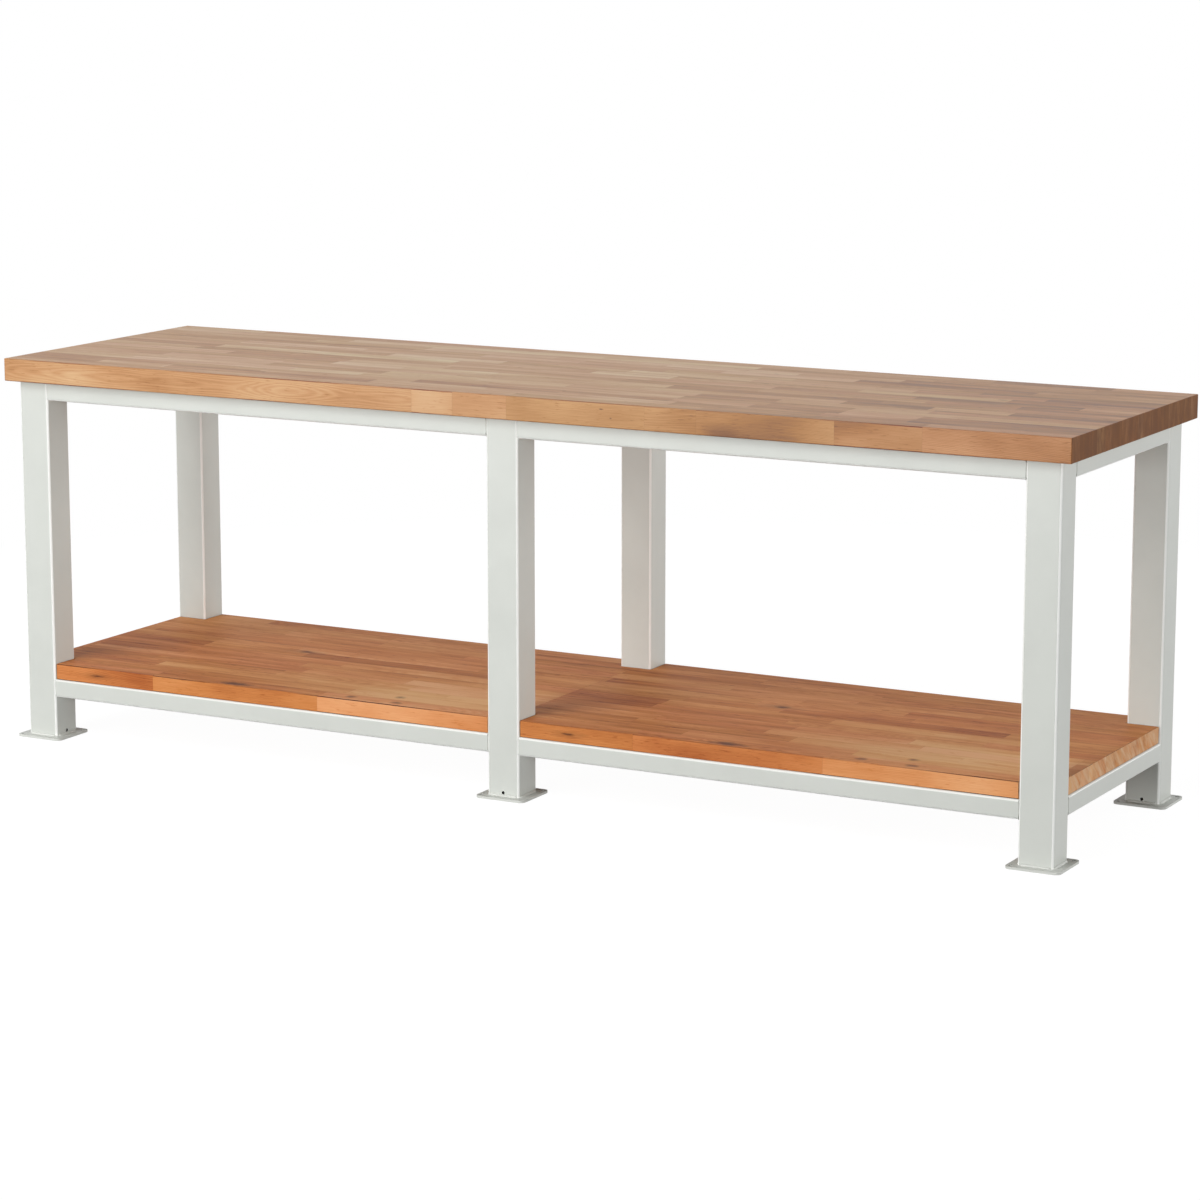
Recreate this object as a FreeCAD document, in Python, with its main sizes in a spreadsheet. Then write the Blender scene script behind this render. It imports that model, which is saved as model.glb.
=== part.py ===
# Long workbench: a thick beech worktop on a welded frame of square steel tube. Six legs stand on
# foot plates that can be anchored to the floor, and two notched beech boards make a low shelf.
# Millimetres. The origin is on the floor under the middle of the worktop, +X runs along the bench,
# +Y goes from the front to the rear and +Z is up.
import FreeCAD, Part
import Sketcher
import math
import os

SIZES = {
    # worktop
    "worktop_length": 2500.0,
    "worktop_depth": 700.0,
    "worktop_thickness": 50.0,
    "worktop_edge": 2.0,         # bevel that breaks every edge
    # frame: its height is the underside of the worktop
    "frame_height": 800.0,
    "end_overhang": 25.0,
    "front_overhang": 20.0,      # the rear has the same
    # legs: square tube, the bend is the radius inside its corners
    "leg_size": 75.0,
    "leg_wall": 3.0,
    "leg_bend": 3.0,
    # rails: tube of a lighter section
    "rail_height": 40.0,
    "rail_width": 40.0,
    "rail_wall": 2.5,
    "rail_bend": 2.5,
    "floor_gap": 95.0,           # floor to the lower rails
    # shelf boards
    "shelf_thickness": 35.0,
    "shelf_edge": 1.5,
    "shelf_inset": 4.0,          # board edges in from the outer faces of the legs
    "notch_clearance": 1.0,
    "shelf_seam": 0.5,           # gap between the two boards
    # foot plates
    "plate_margin": 20.0,        # plate beyond the leg on each side
    "plate_thickness": 5.0,
    "plate_corner": 12.0,
    "anchor_hole": 9.0,
    "anchor_inset": 10.5,        # hole centre in from the two plate edges beside it
    # weld beads
    "weld_size": 4.0,
    # drain holes near the feet of the legs
    "drain_hole": 6.5,
    "drain_height": 7.5,         # centre above the foot plate, just over the weld
    # wood screws inside the upper cross rails, driven up through access holes in their lower walls
    "screw_diameter": 8.0,
    "screw_length": 40.0,
    "screw_head": 13.0,          # across the flats
    "screw_head_height": 5.5,
    "screw_setback": 120.0,      # from the ends of a cross rail
    "screw_clearance": 0.5,      # around the shank in the upper wall
    "access_hole": 20.0,
    "pilot_clearance": 0.05,     # around the shank in the wood
    "pilot_spare": 2.0,          # pilot hole beyond the end of the screw
}

# Lengths and places that follow from the sizes, as expressions
FRAME_LENGTH = "(Sizes.worktop_length - 2 * Sizes.end_overhang)"
FRAME_DEPTH = "(Sizes.worktop_depth - 2 * Sizes.front_overhang)"
BAY_LENGTH = f"(({FRAME_LENGTH} - 3 * Sizes.leg_size) / 2)"
CROSS_LENGTH = f"({FRAME_DEPTH} - 2 * Sizes.leg_size)"
LEG_X = f"(({FRAME_LENGTH} - Sizes.leg_size) / 2)"
LEG_Y = f"(({FRAME_DEPTH} - Sizes.leg_size) / 2)"
LEG_CORNER = "(Sizes.leg_bend + Sizes.leg_wall)"
RAIL_CORNER = "(Sizes.rail_bend + Sizes.rail_wall)"
LONG_RAIL_Y = f"(({FRAME_DEPTH} - Sizes.rail_width) / 2)"
CROSS_RAIL_X = f"(({FRAME_LENGTH} - Sizes.rail_width) / 2)"
UPPER_RAIL_BOTTOM = "(Sizes.frame_height - Sizes.rail_height)"
LOWER_RAIL_BOTTOM = "Sizes.floor_gap"
SHELF_BOTTOM = "(Sizes.floor_gap + Sizes.rail_height)"
PLATE_SIZE = "(Sizes.leg_size + 2 * Sizes.plate_margin)"
ANCHOR_OFFSET = f"({PLATE_SIZE} / 2 - Sizes.anchor_inset)"
RAIL_HOLE = "(Sizes.screw_diameter + 2 * Sizes.screw_clearance)"
PILOT_HOLE = "(Sizes.screw_diameter + 2 * Sizes.pilot_clearance)"
PILOT_DEPTH = "(Sizes.screw_length - Sizes.rail_wall + Sizes.pilot_spare)"
SCREW_Y = f"({CROSS_LENGTH} / 2 - Sizes.screw_setback)"

ROWS = {"front": -1, "rear": 1}
COLUMNS = {"left": -1, "middle": 0, "right": 1}
BAYS = {"left": -1, "right": 1}

# Turns that lay a tube, drawn upright, along the bench or across it, its drawn height still vertical
UPRIGHT = FreeCAD.Rotation()
ALONG_X = FreeCAD.Rotation(FreeCAD.Vector(1, 1, 1), 120)
ALONG_Y = FreeCAD.Rotation(FreeCAD.Vector(0, 1, 1), 180)
HALF_TURN = FreeCAD.Rotation(FreeCAD.Vector(0, 0, 1), 180)

doc = FreeCAD.newDocument("Workbench")
sheet = doc.addObject("Spreadsheet::Sheet", "Sizes")
for row, (alias, amount) in enumerate(SIZES.items(), 1):
    sheet.set(f"A{row}", alias)
    sheet.set(f"B{row}", str(amount))
    sheet.setAlias(f"B{row}", alias)
doc.recompute()

sub_parts = []


def value(expression):
    """The present value of an expression."""
    return float(sheet.evalExpression(expression))


def place(piece, x, y, z, turn=UPRIGHT):
    """Put a piece at a place given by expressions."""
    piece.Placement = FreeCAD.Placement(FreeCAD.Vector(), turn)
    for axis, expression in zip("xyz", (x, y, z)):
        piece.setExpression(f"Placement.Base.{axis}", expression)


def new_body(name):
    body = doc.addObject("PartDesign::Body", name)
    body.Label = name
    return body


def sketch_on(body, role, name):
    """An empty sketch on one of the body's own origin planes."""
    sketch = body.newObject("Sketcher::SketchObject", name)
    plane = next(item for item in body.Origin.OriginFeatures if item.Role == role)
    sketch.AttachmentSupport = (plane, [""])
    sketch.MapMode = "FlatFace"
    return sketch


def dimension(sketch, name, expression, kind, *points):
    """A named sketch dimension bound to an expression."""
    index = sketch.addConstraint(Sketcher.Constraint(kind, *points, value(expression)))
    sketch.renameConstraint(index, name)
    sketch.setExpression(f"Constraints.{name}", expression)


def rounded_rectangle(sketch, name, width, height, radius):
    """A rectangle with round corners, centred on the sketch's origin."""
    x = value(width) / 2
    y = value(height) / 2
    r = value(radius)
    up = FreeCAD.Vector(0, 0, 1)
    corners = [(x - r, y - r, 0), (r - x, y - r, 90), (r - x, r - y, 180), (x - r, r - y, 270)]
    arcs = []
    for cx, cy, start in corners:
        circle = Part.Circle(FreeCAD.Vector(cx, cy, 0), up, r)
        arc = Part.ArcOfCircle(circle, math.radians(start), math.radians(start + 90))
        arcs.append(sketch.addGeometry(arc, False))
    sides = []
    for this, following in zip(arcs, arcs[1:] + arcs[:1]):
        begin = sketch.Geometry[this].EndPoint
        end = sketch.Geometry[following].StartPoint
        sides.append(sketch.addGeometry(Part.LineSegment(begin, end), False))
    for this, side, following in zip(arcs, sides, arcs[1:] + arcs[:1]):
        sketch.addConstraint(Sketcher.Constraint("Tangent", this, 2, side, 1))
        sketch.addConstraint(Sketcher.Constraint("Tangent", side, 2, following, 1))
    for side, direction in zip(sides, ("Horizontal", "Vertical", "Horizontal", "Vertical")):
        sketch.addConstraint(Sketcher.Constraint(direction, side))
    for arc in arcs[1:]:
        sketch.addConstraint(Sketcher.Constraint("Equal", arcs[0], arc))
    sketch.addConstraint(Sketcher.Constraint("Symmetric", arcs[0], 3, arcs[2], 3, -1, 1))
    top, left, bottom, right = sides
    dimension(sketch, f"{name}_width", width, "DistanceX", left, 1, right, 1)
    dimension(sketch, f"{name}_height", height, "DistanceY", bottom, 1, top, 1)
    dimension(sketch, f"{name}_radius", radius, "Radius", arcs[0])


def outline(sketch, points):
    """A closed outline through corners given as pairs of expressions."""
    corners = [FreeCAD.Vector(value(x), value(y), 0) for x, y in points]
    lines = []
    for begin, end in zip(corners, corners[1:] + corners[:1]):
        lines.append(sketch.addGeometry(Part.LineSegment(begin, end), False))
    for this, following in zip(lines, lines[1:] + lines[:1]):
        sketch.addConstraint(Sketcher.Constraint("Coincident", this, 2, following, 1))
    for number, (line, (x, y)) in enumerate(zip(lines, points), 1):
        dimension(sketch, f"corner_{number}_x", x, "DistanceX", -1, 1, line, 1)
        dimension(sketch, f"corner_{number}_y", y, "DistanceY", -1, 1, line, 1)


def circles(sketch, name, diameter, centres):
    """Circles of one diameter at centres given as pairs of expressions."""
    up = FreeCAD.Vector(0, 0, 1)
    for number, (x, y) in enumerate(centres, 1):
        centre = FreeCAD.Vector(value(x), value(y), 0)
        circle = sketch.addGeometry(Part.Circle(centre, up, value(diameter) / 2), False)
        dimension(sketch, f"{name}_{number}_diameter", diameter, "Diameter", circle)
        dimension(sketch, f"{name}_{number}_x", x, "DistanceX", -1, 1, circle, 3)
        dimension(sketch, f"{name}_{number}_y", y, "DistanceY", -1, 1, circle, 3)


def pad(body, sketch, length):
    feature = body.newObject("PartDesign::Pad", f"{body.Name}_pad")
    feature.Profile = sketch
    feature.setExpression("Length", length)
    doc.recompute()
    return feature


def pocket(body, sketch, length, reverse=False):
    """Cut a sketch out of the body, and make sure that it cuts."""
    before = body.Shape.Volume
    feature = body.newObject("PartDesign::Pocket", f"{sketch.Name}_cut")
    feature.Profile = sketch
    feature.Reversed = reverse
    feature.setExpression("Length", length)
    doc.recompute()
    if not body.Shape.Volume < before:
        raise ValueError(f"{sketch.Name} cuts nothing")
    return feature


def bevel(body, base, amount, edges):
    """Break some edges of the body's last feature."""
    feature = body.newObject("PartDesign::Chamfer", f"{body.Name}_bevel")
    names = [f"Edge{number}" for number, edge in enumerate(base.Shape.Edges, 1)
             if any(edge.isSame(chosen) for chosen in edges)]
    feature.Base = (base, names)
    feature.setExpression("Size", amount)
    doc.recompute()


def face_rim(shape, height):
    """The outer edges of the level face at a height."""
    level = [face for face in shape.Faces
             if abs(face.BoundBox.ZMin - height) < 1e-6 and abs(face.BoundBox.ZMax - height) < 1e-6]
    return max(level, key=lambda face: face.Area).OuterWire.Edges


def tube(name, width, height, bend, wall, length):
    """A hollow section, drawn upright from the origin. Its corners are round outside and bevelled over
    the same bend inside, where nothing shows them."""
    body = new_body(name)
    section = sketch_on(body, "XY_Plane", f"{name}_section")
    rounded_rectangle(section, "outer", width, height, f"{bend} + {wall}")
    x = f"({width} / 2 - {wall})"
    y = f"({height} / 2 - {wall})"
    outline(section, [(f"{way_x} * ({x} - {cut_x} * {bend})", f"{way_y} * ({y} - {cut_y} * {bend})")
                      for way_x, way_y, cut_x, cut_y in (
                          (1, 1, 0, 1), (1, 1, 1, 0), (-1, 1, 1, 0), (-1, 1, 0, 1),
                          (-1, -1, 0, 1), (-1, -1, 1, 0), (1, -1, 1, 0), (1, -1, 0, 1))])
    pad(body, section, length)
    sub_parts.append(body)
    return body


def rail(name, length, screw_spots=()):
    """A rail tube. Each screw spot, a distance from its start, has a hole for the shank in the upper
    wall and a wide access hole in the lower wall."""
    body = tube(name, "Sizes.rail_width", "Sizes.rail_height", "Sizes.rail_bend", "Sizes.rail_wall",
                length)
    if screw_spots:
        centres = [("0", spot) for spot in screw_spots]
        shanks = sketch_on(body, "XZ_Plane", f"{name}_shank_holes")
        circles(shanks, "shank", RAIL_HOLE, centres)
        pocket(body, shanks, "Sizes.rail_height")
        access = sketch_on(body, "XZ_Plane", f"{name}_access_holes")
        circles(access, "access", "Sizes.access_hole", centres)
        pocket(body, access, "Sizes.rail_height", reverse=True)
    return body


def leg(name, x, y, drain_plane, drain_reverse):
    """A leg tube that stands on its foot plate, with a drain hole in one wall."""
    body = tube(name, "Sizes.leg_size", "Sizes.leg_size", "Sizes.leg_bend", "Sizes.leg_wall",
                "Sizes.frame_height - Sizes.plate_thickness")
    drain = sketch_on(body, drain_plane, f"{name}_drain")
    circles(drain, "drain", "Sizes.drain_hole", [("0", "Sizes.drain_height")])
    pocket(body, drain, "Sizes.leg_size", reverse=drain_reverse)
    place(body, x, y, "Sizes.plate_thickness")


def foot_plate(name, x, y):
    """A square plate with round corners and two anchor holes on one diagonal."""
    body = new_body(name)
    face = sketch_on(body, "XY_Plane", f"{name}_face")
    rounded_rectangle(face, "plate", PLATE_SIZE, PLATE_SIZE, "Sizes.plate_corner")
    circles(face, "anchor", "Sizes.anchor_hole", [(f"{way} * {ANCHOR_OFFSET}", f"{way} * {ANCHOR_OFFSET}")
                                                  for way in (-1, 1)])
    pad(body, face, "Sizes.plate_thickness")
    place(body, x, y, "0")
    sub_parts.append(body)


def worktop(screw_spots):
    """The glued beech slab, its edges broken, with pilot holes in its underside."""
    body = new_body("worktop")
    slab = sketch_on(body, "XY_Plane", "worktop_slab")
    end = "Sizes.worktop_length / 2"
    side = "Sizes.worktop_depth / 2"
    outline(slab, [(f"-{end}", f"-{side}"), (end, f"-{side}"), (end, side), (f"-{end}", side)])
    block = pad(body, slab, "Sizes.worktop_thickness")
    bevel(body, block, "Sizes.worktop_edge", block.Shape.Edges)
    pilots = sketch_on(body, "XY_Plane", "worktop_pilots")
    circles(pilots, "pilot", PILOT_HOLE, screw_spots)
    pocket(body, pilots, PILOT_DEPTH, reverse=True)
    place(body, "0", "0", "Sizes.frame_height")
    sub_parts.append(body)


def shelf_board(name, turn):
    """One bay's board, drawn for the left bay: notches for the end legs at its outer corners and for
    half of the middle legs at its inner corners. The notches keep it in place on the rails."""
    body = new_body(name)
    outer = f"-({FRAME_LENGTH} / 2 - Sizes.shelf_inset)"
    inner = "-Sizes.shelf_seam / 2"
    outer_notch = f"-({FRAME_LENGTH} / 2 - Sizes.leg_size - Sizes.notch_clearance)"
    inner_notch = "-(Sizes.leg_size / 2 + Sizes.notch_clearance)"
    side = f"({FRAME_DEPTH} / 2 - Sizes.shelf_inset)"
    notch_side = f"({FRAME_DEPTH} / 2 - Sizes.leg_size - Sizes.notch_clearance)"
    rear = [(outer, notch_side), (outer_notch, notch_side), (outer_notch, side),
            (inner_notch, side), (inner_notch, notch_side), (inner, notch_side)]
    front = [(x, f"-{y}") for x, y in rear]
    board = sketch_on(body, "XY_Plane", f"{name}_outline")
    outline(board, front + rear[::-1])
    block = pad(body, board, "Sizes.shelf_thickness")
    rims = face_rim(block.Shape, value("Sizes.shelf_thickness")) + face_rim(block.Shape, 0.0)
    bevel(body, block, "Sizes.shelf_edge", rims)
    place(body, "0", "0", SHELF_BOTTOM, turn)
    sub_parts.append(body)


def wood_screw():
    """A hexagon wood screw with the underside of its head at the origin."""
    head = doc.addObject("Part::Prism", "screw_head")
    head.Polygon = 6
    head.setExpression("Circumradius", "Sizes.screw_head / sqrt(3)")
    head.setExpression("Height", "Sizes.screw_head_height")
    place(head, "0", "0", "-Sizes.screw_head_height")
    shank = doc.addObject("Part::Cylinder", "screw_shank")
    shank.setExpression("Radius", "Sizes.screw_diameter / 2")
    shank.setExpression("Height", "Sizes.screw_length")
    screw = doc.addObject("Part::Fuse", "wood_screw")
    screw.Base = head
    screw.Tool = shank
    return screw


def weld_bead(name, length):
    """A straight fillet weld, drawn with its root on the upright axis and centred on its length."""
    body = new_body(name)
    profile = sketch_on(body, "XY_Plane", f"{name}_profile")
    outline(profile, [("0", "0"), ("Sizes.weld_size", "0"), ("0", "Sizes.weld_size")])
    bead = pad(body, profile, length)
    bead.SideType = "Symmetric"
    return body


def copies(name, spots):
    """One sub-part made of copies of small pieces, each with its place and turn."""
    links = []
    for number, (original, x, y, z, turn) in enumerate(spots, 1):
        link = doc.addObject("App::Link", f"{name}_{number}")
        link.LinkedObject = original
        place(link, x, y, z, turn)
        links.append(link)
    group = doc.addObject("Part::Compound", name)
    group.Label = name
    group.Links = links
    sub_parts.append(group)


def bead_turn(first, second):
    """The turn of a bead that lies in a corner, given the ways out of the corner along both faces."""
    first = FreeCAD.Vector(*first)
    second = FreeCAD.Vector(*second)
    return FreeCAD.Rotation(first, second, first.cross(second), "ZXY")


def foot_welds(column, row, bead):
    """The beads between a leg and its plate, one along each flat side of the leg."""
    up = (0, 0, 1)
    half = "Sizes.leg_size / 2"
    return [(bead, f"{column} * {LEG_X} + {x} * {half}", f"{row} * {LEG_Y} + {y} * {half}",
             "Sizes.plate_thickness", bead_turn((x, y, 0), up))
            for x, y in ((-1, 0), (1, 0), (0, -1), (0, 1))]


def rail_welds(bottom, side_bead, under_bead):
    """The beads at both ends of every rail of one level: one below the rail, and one on each of its
    sides that isn't flush with the legs."""
    middle = f"{bottom} + Sizes.rail_height / 2"
    down = (0, 0, -1)
    spots = []
    for bay in BAYS.values():
        leg_faces = [("Sizes.leg_size / 2", bay), (f"({FRAME_LENGTH} / 2 - Sizes.leg_size)", -bay)]
        for row in ROWS.values():
            inner_side = f"{row} * ({FRAME_DEPTH} / 2 - Sizes.rail_width)"
            for leg_face, way in leg_faces:
                along = (way, 0, 0)
                x = f"{bay} * {leg_face}"
                spots.append((under_bead, x, f"{row} * {LONG_RAIL_Y}", bottom, bead_turn(along, down)))
                spots.append((side_bead, x, inner_side, middle, bead_turn(along, (0, -row, 0))))
    for column in COLUMNS.values():
        sides = [-1, 1] if column == 0 else [-column]
        for end in (-1, 1):
            along = (0, -end, 0)
            x = f"{column} * {CROSS_RAIL_X}"
            y = f"{end} * {CROSS_LENGTH} / 2"
            spots.append((under_bead, x, y, bottom, bead_turn(along, down)))
            for side in sides:
                face = f"{x} + {side} * Sizes.rail_width / 2"
                spots.append((side_bead, face, y, middle, bead_turn(along, (side, 0, 0))))
    return spots


# Beads for the feet of the legs and for the sides and undersides of the rails, clear of round corners
foot_bead = weld_bead("foot_bead", f"Sizes.leg_size - 2 * {LEG_CORNER}")
side_bead = weld_bead("side_bead", f"Sizes.rail_height - 2 * {RAIL_CORNER}")
under_bead = weld_bead("under_bead", f"Sizes.rail_width - 2 * {RAIL_CORNER}")

# Legs, each with its foot plate and welds. The drain holes of the front end legs face inwards, along
# the bench, and those of the other legs face the front.
for row_name, row in ROWS.items():
    for column_name, column in COLUMNS.items():
        spot = f"{row_name}_{column_name}"
        x = f"{column} * {LEG_X}"
        y = f"{row} * {LEG_Y}"
        inward = row_name == "front" and column != 0
        leg(f"leg_{spot}", x, y, "YZ_Plane" if inward else "XZ_Plane", column < 0 if inward else True)
        foot_plate(f"foot_plate_{spot}", x, y)
        copies(f"foot_weld_{spot}", foot_welds(column, row, foot_bead))

# Rails between the legs: long ones flush with the front and rear faces of the legs, cross ones flush
# with the ends of the frame and through its middle. The upper cross rails hold the worktop's screws.
LEVELS = {"upper": UPPER_RAIL_BOTTOM, "lower": LOWER_RAIL_BOTTOM}
SCREW_SPOTS = {"upper": ["Sizes.screw_setback", f"{CROSS_LENGTH} - Sizes.screw_setback"], "lower": []}
for level, bottom in LEVELS.items():
    middle = f"{bottom} + Sizes.rail_height / 2"
    for row_name, row in ROWS.items():
        for bay_name, bay in BAYS.items():
            body = rail(f"{level}_rail_{row_name}_{bay_name}", BAY_LENGTH)
            start = "Sizes.leg_size / 2" if bay > 0 else f"-(Sizes.leg_size / 2 + {BAY_LENGTH})"
            place(body, start, f"{row} * {LONG_RAIL_Y}", middle, ALONG_X)
    for column_name, column in COLUMNS.items():
        body = rail(f"{level}_cross_rail_{column_name}", CROSS_LENGTH, SCREW_SPOTS[level])
        place(body, f"{column} * {CROSS_RAIL_X}", f"-{CROSS_LENGTH} / 2", middle, ALONG_Y)
    copies(f"{level}_rail_welds", rail_welds(bottom, side_bead, under_bead))

# Worktop, its screws against the upper walls of the cross rails, and the two shelf boards
screw_spots = [(f"{column} * {CROSS_RAIL_X}", f"{way} * {SCREW_Y}")
               for column in COLUMNS.values() for way in (-1, 1)]
screw = wood_screw()
screw_seat = "Sizes.frame_height - Sizes.rail_wall"
worktop(screw_spots)
copies("worktop_screws", [(screw, x, y, screw_seat, UPRIGHT) for x, y in screw_spots])
shelf_board("shelf_board_left", UPRIGHT)
shelf_board("shelf_board_right", HALF_TURN)

doc.recompute()
for item in doc.Objects:
    if "Invalid" in item.State or "Error" in item.State:
        raise RuntimeError(f"{item.Label} did not build: {item.State}")
for item in sub_parts:
    if item.Shape.isNull() or not item.Shape.isValid():
        raise RuntimeError(f"{item.Label} has no valid shape")

os.makedirs("parts", exist_ok=True)
for item in sub_parts:
    item.Shape.exportStep(f"parts/{item.Label}.step")
    box = item.Shape.BoundBox
    print(f"{item.Label}: {len(item.Shape.Solids)} solids, {item.Shape.Volume / 1000:.1f} cm3, "
          f"z {box.ZMin:.1f} to {box.ZMax:.1f}")
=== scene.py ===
# %% [markdown]
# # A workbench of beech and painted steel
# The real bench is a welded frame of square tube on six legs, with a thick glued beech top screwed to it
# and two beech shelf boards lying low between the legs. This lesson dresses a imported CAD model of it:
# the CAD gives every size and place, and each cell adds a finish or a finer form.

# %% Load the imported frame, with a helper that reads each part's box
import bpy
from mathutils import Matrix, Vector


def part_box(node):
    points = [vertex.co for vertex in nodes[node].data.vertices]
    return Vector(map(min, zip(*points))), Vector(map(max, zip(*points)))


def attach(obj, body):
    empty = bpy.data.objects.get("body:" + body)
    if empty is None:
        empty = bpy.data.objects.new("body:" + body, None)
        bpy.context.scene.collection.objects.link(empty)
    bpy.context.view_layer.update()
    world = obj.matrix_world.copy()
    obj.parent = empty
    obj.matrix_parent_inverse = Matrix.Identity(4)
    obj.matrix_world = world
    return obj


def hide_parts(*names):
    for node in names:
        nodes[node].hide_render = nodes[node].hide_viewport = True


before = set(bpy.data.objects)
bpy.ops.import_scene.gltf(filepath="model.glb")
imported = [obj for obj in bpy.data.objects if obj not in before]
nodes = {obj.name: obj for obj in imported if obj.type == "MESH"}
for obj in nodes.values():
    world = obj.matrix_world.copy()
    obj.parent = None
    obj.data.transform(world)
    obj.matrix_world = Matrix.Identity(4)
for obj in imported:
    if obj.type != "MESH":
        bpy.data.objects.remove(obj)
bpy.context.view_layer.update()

import math
import random

import bmesh
import bpy
from mathutils import Vector

mm = 0.001
scene = bpy.context.scene

# %% [markdown]
# ## Camera
# The bench was photographed with a long lens from the front right, a little above the top. A long lens keeps
# the legs nearly parallel. The place and angle were worked out from the edges of the top, the legs and the
# shelf, and the lens is written in Blender's own 36 mm sensor, so no framing has to be tuned by eye.

# %% Camera at the photograph's viewing angle
IMAGE_PIXELS = 1200
FOCAL_PIXELS = 3690
SENSOR_MM = 36.0
CAMERA_PLACE = (3.7546, -6.7949, 1.8661)
CAMERA_YAW, CAMERA_PITCH = math.radians(28.60), math.radians(10.94)

camera_data = bpy.data.cameras.new("camera")
camera_data.sensor_width = SENSOR_MM
camera_data.lens = FOCAL_PIXELS / IMAGE_PIXELS * SENSOR_MM
camera = bpy.data.objects.new("camera", camera_data)
camera.location = CAMERA_PLACE
camera.rotation_euler = (math.pi / 2 - CAMERA_PITCH, 0, CAMERA_YAW)
scene.collection.objects.link(camera)
scene.camera = camera
print("lens:", round(camera_data.lens, 1), "mm")

# %% [markdown]
# ## Colours and nodes
# Colours are easiest to write as the hex values of a picture, but shaders work in linear light, so one
# function converts them. A second small function adds a node, sets it up and links it in one line.

# %% Helpers: linear colour and add a node
def linear(hex_colour):
    """An sRGB colour such as #C8A070, as linear red, green, blue and alpha."""
    parts = [int(hex_colour[i:i + 2], 16) / 255 for i in (1, 3, 5)]
    return [p / 12.92 if p <= 0.04045 else ((p + 0.055) / 1.055) ** 2.4 for p in parts] + [1.0]


def add(tree, kind, inputs=None, **settings):
    """A new node: inputs are values or sockets to link, settings are the node's own options."""
    made = tree.nodes.new(kind)
    for key, value in settings.items():
        setattr(made, key, value)
    for key, value in (inputs or {}).items():
        if isinstance(value, bpy.types.NodeSocket):
            tree.links.new(value, made.inputs[key])
        else:
            made.inputs[key].default_value = value
    return made


print("white is", linear("#FFFFFF"))

# %% [markdown]
# ## Studio light
# A product like this is lit in a white room with five soft lamps. A high one in front, a little to the left,
# lights the top, and the edge of the top throws a soft shadow on the rails under it. A middle and a low one
# shine in under the top as far as the rear legs. A far one on the right lifts the legs' right faces and adds
# to the bright line down each rounded corner, and a weak one keeps the back from going dark. Room and lamps
# together come to about 1 on a front face, so a colour renders as written.

# %% World and five lamps
ROOM_LIGHT = 0.25
scene.view_settings.view_transform = "Standard"


def seen_itself(tree):
    """1 where a ray looks at the thing itself, straight, by a mirror or through glass, and 0 where it only
    gathers light."""
    ray = add(tree, "ShaderNodeLightPath")
    seen = ray.outputs["Is Camera Ray"]
    for other in ("Is Glossy Ray", "Is Transmission Ray"):
        seen = add(tree, "ShaderNodeMath", {0: seen, 1: ray.outputs[other]}, operation="MAXIMUM").outputs[0]
    return seen


world = bpy.data.worlds.new("white_room")
world.use_nodes = True
scene.world = world
room = world.node_tree
room.nodes.clear()
level = add(room, "ShaderNodeMapRange", {"Value": seen_itself(room), "To Min": ROOM_LIGHT, "To Max": 1.0})
background = add(room, "ShaderNodeBackground", {"Color": linear("#FFFFFF"), "Strength": level.outputs[0]})
add(room, "ShaderNodeOutputWorld", {"Surface": background.outputs[0]})

BENCH_MIDDLE = Vector((0, 0, 0.5))
# name, place, width and height in metres, and watts
LAMPS = (
    ("high_lamp", (-1.8, -5.5, 5.6), 5.0, 2.5, 195),
    ("middle_lamp", (-2.6, -7.4, 3.4), 5.0, 2.8, 180),
    ("low_lamp", (-3.6, -9.6, 1.1), 5.0, 1.6, 325),
    ("side_lamp", (34.0, -6.5, 1.4), 3.0, 3.0, 3500),
    ("back_lamp", (7.0, 8.0, 2.2), 4.0, 3.0, 300),
)
for name, where, wide, tall, watts in LAMPS:
    lamp_data = bpy.data.lights.new(name, "AREA")
    lamp_data.shape = "RECTANGLE"
    lamp_data.size, lamp_data.size_y, lamp_data.energy = wide, tall, watts
    lamp = bpy.data.objects.new(name, lamp_data)
    lamp.location = where
    lamp.rotation_euler = (BENCH_MIDDLE - lamp.location).to_track_quat("-Z", "Y").to_euler()
    scene.collection.objects.link(lamp)
    print(name, watts, "W", round((BENCH_MIDDLE - lamp.location).length, 1), "m away")

# %% [markdown]
# ## Floor
# The floor is a plain white sheet. Most of what the camera sees of it is its own white, and the rest is the
# light on it, so that the bench keeps a soft shadow. Away from the bench its own white takes over, so that it
# joins the white room without an edge. Seen from below it lets the view through, so that the underside can be
# looked at.

# %% White floor that keeps a soft shadow
FLOOR_HALF = 14.0
SHEET_OWN_WHITE = 0.76      # the sheet's own white, as a share of what is seen near the bench
NEAR_WHITE = 0.97           # how bright that share is
SHADOW_REACH = (1.6, 3.2)   # metres from the middle of the bench where the shadow fades out

white_sheet = bpy.data.materials.new("white_paper_sheet")
white_sheet.use_nodes = True
sheet = white_sheet.node_tree
sheet.nodes.clear()
paper = add(sheet, "ShaderNodeBsdfDiffuse", {"Color": linear("#A3A3A3")})
middle = add(sheet, "ShaderNodeVectorMath", {0: add(sheet, "ShaderNodeTexCoord").outputs["Object"]},
             operation="LENGTH")
fade = {"Value": middle.outputs["Value"], "From Min": SHADOW_REACH[0], "From Max": SHADOW_REACH[1],
        "To Max": 1.0}
share = add(sheet, "ShaderNodeMapRange", {**fade, "To Min": SHEET_OWN_WHITE})
strength = add(sheet, "ShaderNodeMapRange", {**fade, "To Min": NEAR_WHITE / SHEET_OWN_WHITE})
glow = add(sheet, "ShaderNodeEmission", {"Color": linear("#FFFFFF"), "Strength": strength.outputs[0]})
share = add(sheet, "ShaderNodeMath", {0: seen_itself(sheet), 1: share.outputs[0]}, operation="MULTIPLY")
lit = add(sheet, "ShaderNodeMixShader", {0: share.outputs[0], 1: paper.outputs[0], 2: glow.outputs[0]})
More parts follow.
